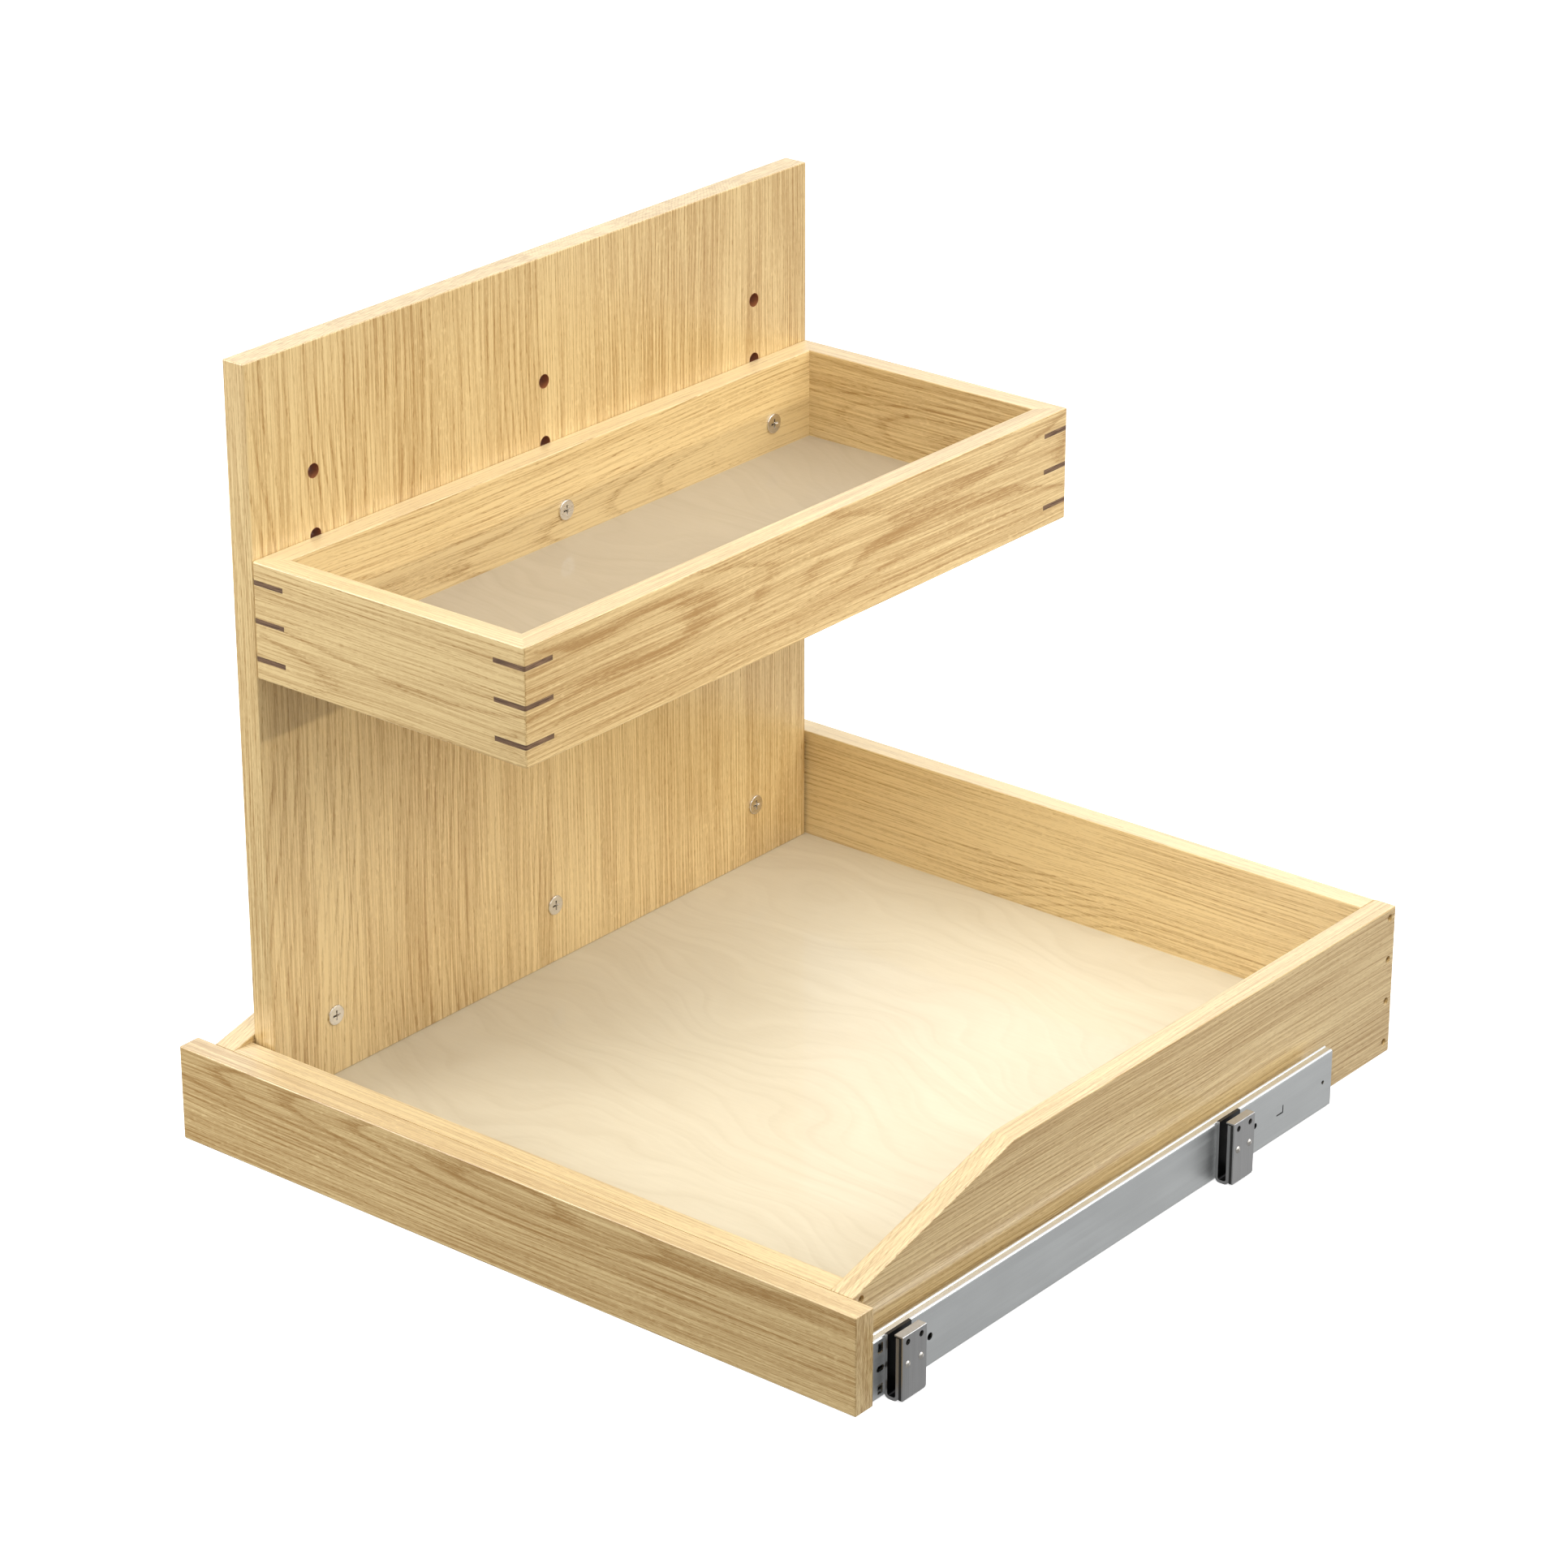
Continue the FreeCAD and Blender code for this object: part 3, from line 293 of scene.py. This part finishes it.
def oak_material(name, axis, offset, pith, tone_and_painted_light, upright):
    """Lacquered light oak: growth rings round a distant middle, fine lines and pores along the
    grain, pale ray flecks, painted glints, and broad lighter and darker bands; the tops are made
    paler as a painted sheen. It is a solid texture, except that its lines are drawn out on tops
    and ends. The upright panel also has staves, and the walls of its holes are darker for their
    end grain and with painted shade."""
    graph = Graph(name)
    along, wide, thick = grain_axes(graph, axis, offset)
    if upright:
        cell = graph.add("ShaderNodeTexVoronoi", voronoi_dimensions="1D", feature="F1")
        graph.link(wide, cell.inputs["W"])
        cell.inputs["Scale"].default_value = 1 / STAVE_WIDTH
        cell.inputs["Randomness"].default_value = STAVE_RANDOMNESS
        stave_tone, shift_along, shift_thick = graph.split(cell.outputs["Color"])
        along = graph.math("MULTIPLY_ADD", shift_along, STAVE_SHIFT_ALONG, along)
        thick = graph.math("MULTIPLY_ADD", shift_thick, STAVE_SHIFT_THICK, thick)

    wander = graph.noise(graph.scaled(along, wide, thick, 4.0, 12.0), detail=2.0)
    wide_bent = graph.math("MULTIPLY_ADD", graph.math("SUBTRACT", wander, 0.5), GRAIN_WANDER, wide)
    # a sloping top is cut along the grain's layers, and an end across them; both show long lines
    upward = graph.normal_part(2)
    end_on = graph.math("ABSOLUTE", graph.normal_part("XYZ".index(axis)))
    drawn_out = graph.math("MINIMUM", graph.smooth(upward, *FACING, 1.0, DRAWN_OUT),
                           graph.smooth(end_on, *FACING, 1.0, DRAWN_OUT))
    wide_drawn = graph.math("MULTIPLY", wide_bent, drawn_out)

    def stretched(along_scale, across_scale, detail=2.0, roughness=0.5):
        """Noise drawn out along the grain."""
        at = graph.scaled(along, wide_drawn, thick, along_scale, across_scale)
        return graph.noise(at, detail=detail, roughness=roughness)

    def mark(kind):
        """One kind of mark from the table, nought to one."""
        along_scale, across_scale, detail, roughness, low, high = OAK_MARKS[kind]
        return graph.smooth(stretched(along_scale, across_scale, detail, roughness), low, high)

    def add_share(kind, value, total):
        """Add the share of this kind of mark."""
        return graph.math("MULTIPLY_ADD", value, MARK_SHARES[kind], total)

    def add_even_share(kind, value, total):
        """Add the share of something that lies around a half, so that the average stays."""
        return add_share(kind, graph.math("SUBTRACT", value, 0.5), total)

    # growth rings, with a middle that drifts along the board
    drift = graph.noise(graph.join(graph.math("MULTIPLY", along, 2.4), 0.3, 0.7), detail=1.0)
    depth = graph.math("ADD", graph.math("MULTIPLY_ADD", drift, RING_DRIFT, pith), thick)
    waver = graph.math("MULTIPLY", stretched(7.0, 90.0), RING_WAVER)
    rings = graph.math("MULTIPLY_ADD", graph.length(wide_bent, depth), 1 / RING_WIDTH, waver)
    early = graph.band(graph.math("FRACT", rings), *EARLY_WOOD)
    # pores are most common in the early wood, and flecks lie in loose areas
    pores = graph.math("MULTIPLY", mark("pores"), graph.math("MULTIPLY_ADD", early, 0.6, 0.4))
    flecks = graph.math("MULTIPLY", mark("flecks"), mark("fleck_areas"))
    hairs = mark("hairs")
    dark = add_share("rings", graph.math("MULTIPLY", early, mark("patches")), PLAIN_DARKNESS)
    dark = add_even_share("lines", mark("lines"), dark)
    dark = add_even_share("hairs", hairs, dark)
    dark = add_even_share("streaks", stretched(2.5, 170.0), dark)
    dark = add_even_share("broad", stretched(1.0, 22.0, detail=1.0), dark)
    dark = add_share("pores", pores, dark)
    # the glints are painted highlights that lighten the wood
    dark = add_share("painted_glints", mark("painted_glints"), dark)
    dark = add_share("flecks", flecks, dark)
    if upright:
        dark = add_even_share("staves", stave_tone, dark)
    # the board's tone, partly its own and partly painted light
    dark = graph.math("ADD", dark, TONE_SHIFT + tone_and_painted_light, clamp=True)
    colour = graph.blend(dark, OAK_LIGHT, OAK_DARK)
    # the tops are made paler: a painted sheen for the light from above
    colour = graph.blend(graph.smooth(upward, *FACING, 0.0, OAK_TOP_SHEEN_SHARE), colour, OAK_TOP_PAINTED_SHEEN)
    if upright:
        # the holes' walls: darker end grain, with painted shade
        colour = graph.blend(hole_walls_end_grain_and_shade(graph), colour, DRILLED_OAK_AND_SHADE)
    graph.link(colour, graph.shader.inputs["Base Color"])
    graph.link(graph.smooth(dark, 0.0, 1.0, 0.42, 0.60), graph.shader.inputs["Roughness"])
    graph.set(Specular_IOR_Level=0.30, Coat_Weight=1.0, Coat_Roughness=0.32, Coat_IOR=1.7)
    relief = graph.math("MULTIPLY_ADD", pores, -1.0, graph.math("MULTIPLY", hairs, 0.5))
    graph.bump(relief, 0.30, 0.00012)
    return graph.material


# ---------------------------------------------------------------- birch ply
def birch_material(name, offset, light, dark_tone):
    """Clear coated rotary cut birch: pale, with thin wavy contour lines, faint clouds and fine
    lines. Its grain runs from left to right."""
    graph = Graph(name)
    along, thick, wide = grain_axes(graph, "X", offset)
    flow_at = graph.join(graph.math("MULTIPLY", along, 5.0), graph.math("MULTIPLY", wide, 7.0), 0.0)
    flow = graph.noise(flow_at, detail=2.0, roughness=0.45)
    slanted = graph.math("MULTIPLY_ADD", along, CONTOUR_SLANT, wide)
    height = graph.math("MULTIPLY_ADD", flow, CONTOUR_FLOW, slanted)
    step = graph.math("FRACT", graph.math("MULTIPLY", height, CONTOUR_REPEATS))
    contour = graph.band(step, *CONTOUR_SHAPE)
    cloud_at = graph.join(graph.math("MULTIPLY", along, 9.0), graph.math("MULTIPLY", height, 60.0), 0.0)
    clouds = graph.noise(cloud_at, detail=3.0, roughness=0.55)
    fine = graph.noise(graph.scaled(along, wide, thick, 60.0, 520.0), detail=2.0)
    dark = graph.math("MULTIPLY", graph.math("SUBTRACT", clouds, 0.30), 0.55)
    dark = graph.math("MULTIPLY_ADD", graph.math("SUBTRACT", fine, 0.5), 0.22, dark)
    dark = graph.math("MULTIPLY_ADD", contour, CONTOUR_SHARE, dark, clamp=True)
    graph.link(graph.blend(dark, light, dark_tone), graph.shader.inputs["Base Color"])
    graph.link(graph.smooth(clouds, 0.2, 0.8, 0.34, 0.42), graph.shader.inputs["Roughness"])
    graph.set(Specular_IOR_Level=0.25, Coat_Weight=0.26, Coat_Roughness=0.02)
    return graph.material


# ---------------------------------------------------------------- walnut keys
def walnut_material(name):
    """Dark walnut, whose grain runs across the shelf's corners with the keys."""
    graph = Graph(name)
    along, wide, thick = grain_axes(graph, "X", (0.0, 0.0, 0.0))
    diagonal = graph.math("ADD", along, thick)
    grain_at = graph.join(graph.math("MULTIPLY", diagonal, 60.0), graph.math("MULTIPLY", wide, 1500.0),
                          graph.math("MULTIPLY", graph.math("SUBTRACT", along, thick), 60.0))
    grain = graph.noise(grain_at, detail=3.0, roughness=0.6)
    graph.link(graph.blend(graph.smooth(grain, 0.3, 0.7), WALNUT_LIGHT, WALNUT_DARK),
               graph.shader.inputs["Base Color"])
    graph.link(graph.smooth(grain, 0.2, 0.8, 0.42, 0.60), graph.shader.inputs["Roughness"])
    graph.set(Specular_IOR_Level=0.4)
    graph.bump(grain, 0.3, 0.00008)
    return graph.material


# ---------------------------------------------------------------- metals
def metal_material(name, colour, roughness, axis="Y", lines=900.0, contrast=0.06, matte_sides=0.0,
                   cut_edges=None):
    """Plated sheet steel with faint drawn lines along one axis and a little cloudiness. Its faces
    that look left or right can be more matte, and its edges that look to the front or back can
    have another colour."""
    graph = Graph(name)
    along, wide, thick = grain_axes(graph, axis, (0.0, 0.0, 0.0))
    drawn = graph.noise(graph.scaled(along, wide, thick, 12.0, lines), detail=2.0)
    cloud = graph.noise(graph.scaled(along, wide, thick, 30.0, 60.0), detail=3.0)
    uneven = graph.math("MULTIPLY_ADD", drawn, 0.5, graph.math("MULTIPLY", cloud, 0.5))
    worn = graph.smooth(uneven, 0.3, 0.7)
    darker = tuple(channel * (1 - contrast * 2) for channel in colour[:3]) + (1.0,)
    lighter = tuple(min(1.0, channel * (1 + contrast)) for channel in colour[:3]) + (1.0,)
    blended = graph.blend(worn, darker, lighter)
    rough = graph.math("MULTIPLY_ADD", worn, 0.11, roughness - 0.05)
    if matte_sides:
        sideways = graph.smooth(graph.math("ABSOLUTE", graph.normal_part(0)), *SIDE_FACING)
        rough = graph.math("MULTIPLY_ADD", sideways, matte_sides, rough)
    if cut_edges:
        endways = graph.smooth(graph.math("ABSOLUTE", graph.normal_part(1)), *SIDE_FACING)
        blended = graph.blend(endways, blended, cut_edges)
    graph.link(blended, graph.shader.inputs["Base Color"])
    graph.link(rough, graph.shader.inputs["Roughness"])
    graph.set(Metallic=1.0)
    graph.bump(drawn, 0.06, 0.00004)
    return graph.material


def dark_material(name, colour, roughness):
    """Black rubber or plastic with a fine grained skin."""
    graph = Graph(name)
    grain = graph.noise(graph.position(), scale=1800.0, detail=2.0)
    lighter = tuple(channel * 1.8 for channel in colour[:3]) + (1.0,)
    graph.link(graph.blend(grain, colour, lighter), graph.shader.inputs["Base Color"])
    graph.link(graph.smooth(grain, 0.3, 0.7, roughness - 0.08, roughness + 0.08),
               graph.shader.inputs["Roughness"])
    graph.bump(grain, 0.25, 0.00006)
    return graph.material


# ---------------------------------------------------------------- giving each node its material
def give(node_name, material):
    mesh = NODES[node_name].data
    mesh.materials.clear()
    mesh.materials.append(material)


def paint_oak():
    """Each board gets its own stretch of timber, centred on the board."""
    wide_index = {"X": 2, "Y": 2, "Z": 1}
    thick_index = {"X": 1, "Y": 0, "Z": 0}
    for k, (node, (axis, tone_and_painted_light, beside)) in enumerate(BOARDS.items()):
        low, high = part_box(node)
        offset = -(low + high) / 2
        offset["XYZ".index(axis)] += BOARD_SHIFT * (k + 1)
        offset[wide_index[axis]] += beside + WIDE_STEP * ((k * 3) % 5 - 2)
        offset[thick_index[axis]] += THICK_STEP * ((k * 7) % 5 - 2)
        pith = PITH_STEP * (1 + (k * 2) % 3)
        upright = node == "upright_panel"
        give(node, oak_material("oak_" + node, axis, offset, pith, tone_and_painted_light, upright))


def paint_the_rest():
    give("tray_floor", birch_material("birch_tray_floor", (0.13, 0.4, 0.0), *TRAY_BIRCH))
    give("shelf_floor", birch_material("birch_shelf_floor", (2.31, 1.7, 0.0), *SHELF_BIRCH))
    walnut = walnut_material("walnut_keys")
    zinc = metal_material("zinc_plated_steel", (0.78, 0.80, 0.80, 1.0), 0.22, contrast=0.02,
                          matte_sides=0.26)
    bracket = metal_material("bracket_steel", (0.53, 0.53, 0.53, 1.0), 0.32, axis="Z")
    # the bracket channels: their faces are painted near black as shade for the channel's dark inside,
    # and only the cut edges keep the steel's grey
    black = metal_material("steel_painted_black_shade", (0.050, 0.050, 0.052, 1.0), 0.34, axis="Z",
                           cut_edges=(0.46, 0.46, 0.46, 1.0))
    nickel = metal_material("nickel_plate", (0.78, 0.74, 0.68, 1.0), 0.24, lines=400.0)
    screw = metal_material("yellow_zinc_screws", (0.60, 0.47, 0.28, 1.0), 0.36, lines=400.0)
    cage = metal_material("stamped_steel", (0.55, 0.56, 0.57, 1.0), 0.30)
    ball = metal_material("bearing_steel", (0.80, 0.80, 0.81, 1.0), 0.10, lines=200.0, contrast=0.02)
    rubber = dark_material("black_rubber", (0.010, 0.010, 0.010, 1.0), 0.65)
    plastic = dark_material("black_plastic", (0.020, 0.020, 0.021, 1.0), 0.45)
    by_slot = {"walnut": walnut, "zinc_steel": zinc, "bracket_steel": bracket, "black_steel": black,
               "nickel": nickel, "screw_steel": screw, "cage_steel": cage, "ball_steel": ball,
               "pad_rubber": rubber, "black_plastic": plastic}
    for entry in frame["record"]["subparts"]:
        if entry["material_slot"] in by_slot:
            give(entry["node"], by_slot[entry["material_slot"]])


# ---------------------------------------------------------------- stage, lights and camera
def make_floor():
    """A plain pale floor under the object."""
    half = FLOOR_SIZE / 2
    mesh = bpy.data.meshes.new("floor")
    corners = [(-half, -half, 0), (half, -half, 0), (half, half, 0), (-half, half, 0)]
    mesh.from_pydata(corners, [], [(0, 1, 2, 3)])
    floor = bpy.data.objects.new("floor", mesh)
    floor.location.z = CAD_LOW.z - 0.0002
    bpy.context.scene.collection.objects.link(floor)
    graph = Graph("pale_floor")
    graph.set(Base_Color=(0.86, 0.86, 0.86, 1.0), Roughness=0.9, Specular_IOR_Level=0.1)
    graph.set(Emission_Color=(*WHITE, 1.0), Emission_Strength=0.70)
    mesh.materials.append(graph.material)
    # the floor throws no light up on the object and isn't reflected in it
    floor.visible_diffuse = False
    floor.visible_glossy = False


def aim(thing, target):
    direction = Vector(target) - thing.location
    thing.rotation_euler = direction.to_track_quat("-Z", "Y").to_euler()


def lamp(name, kind, place, target, watts, colour, **settings):
    data = bpy.data.lights.new(name, kind)
    data.energy = watts
    data.color = colour
    for key, value in settings.items():
        setattr(data, key, value)
    light = bpy.data.objects.new(name, data)
    light.location = place
    light.visible_camera = False
    aim(light, target)
    bpy.context.scene.collection.objects.link(light)


def studio_air():
    """An even white tent above the floor's level, and a dim one below it."""
    world = bpy.data.worlds.new("studio")
    world.use_nodes = True
    tree = world.node_tree
    direction = tree.nodes.new("ShaderNodeTexCoord")
    parts = tree.nodes.new("ShaderNodeSeparateXYZ")
    ramp = tree.nodes.new("ShaderNodeMapRange")
    ramp.interpolation_type = "SMOOTHSTEP"
    ramp.inputs["From Min"].default_value = TENT_CHANGE[0]
    ramp.inputs["From Max"].default_value = TENT_CHANGE[1]
    ramp.inputs["To Min"].default_value = TENT_BELOW
    ramp.inputs["To Max"].default_value = TENT_ABOVE
    tree.links.new(direction.outputs["Generated"], parts.inputs[0])
    tree.links.new(parts.outputs["Z"], ramp.inputs["Value"])
    facing = tree.nodes.new("ShaderNodeVectorMath")
    facing.operation = "DOT_PRODUCT"
    facing.inputs[1].default_value = CARD_DIRECTION
    card = tree.nodes.new("ShaderNodeMapRange")
    card.interpolation_type = "SMOOTHSTEP"
    card.inputs["From Min"].default_value = CARD_EDGE[0]
    card.inputs["From Max"].default_value = CARD_EDGE[1]
    card.inputs["To Max"].default_value = CARD_GLOW
    total = tree.nodes.new("ShaderNodeMath")
    tree.links.new(direction.outputs["Generated"], facing.inputs[0])
    tree.links.new(facing.outputs["Value"], card.inputs["Value"])
    tree.links.new(ramp.outputs["Result"], total.inputs[0])
    tree.links.new(card.outputs["Result"], total.inputs[1])
    tree.links.new(total.outputs[0], tree.nodes["Background"].inputs["Strength"])
    tree.nodes["Background"].inputs["Color"].default_value = (*WHITE, 1.0)
    bpy.context.scene.world = world


def light_the_scene():
    studio_air()
    lamp("overhead", "AREA", (1.3, -0.1, 3.2), MIDDLE, 41.0, SOFT_WHITE, shape="DISK", size=2.4)
    lamp("upper_left", "AREA", (-0.9, -1.15, 0.7), (-0.2, -0.3, 0.2), 13.0, COOL_WHITE,
         shape="DISK", size=0.8)
    lamp("back_right", "AREA", (1.7, 1.2, 1.3), MIDDLE, 14.0, COOL_WHITE, shape="DISK", size=0.9)
    # a wide soft beam into the back of the tray, under the shelf
    lamp("tray_fill", "SPOT", (0.6, -0.6, 0.9), (-0.02, 0.30, 0.04), 30.0, COOL_WHITE,
         spot_size=math.radians(32.0), spot_blend=1.0, shadow_soft_size=0.15)
    # a small lamp on the right, with a hard edge to its beam
    lamp("low_right", "SPOT", BEAM_FROM, BEAM_TO, 102.0, WARM_WHITE, spot_size=math.radians(60.0),
         spot_blend=0.06, shadow_soft_size=0.03)
    bpy.context.scene.view_settings.view_transform = "Standard"


def make_camera():
    azimuth = math.radians(CAMERA_AZIMUTH)
    elevation = math.radians(CAMERA_ELEVATION)
    level = math.cos(elevation)
    backwards = Vector((math.sin(azimuth) * level, -math.cos(azimuth) * level, math.sin(elevation)))
    data = bpy.data.cameras.new("camera")
    data.lens = LENS_MM
    data.sensor_width = 36.0
    data.clip_start = 0.05
    data.clip_end = 100.0
    camera = bpy.data.objects.new("camera", data)
    camera.location = CAMERA_TARGET + backwards * CAMERA_DISTANCE
    aim(camera, CAMERA_TARGET)
    bpy.context.scene.collection.objects.link(camera)
    bpy.context.scene.camera = camera


make_camera()
make_floor()
light_the_scene()
paint_oak()
paint_the_rest()
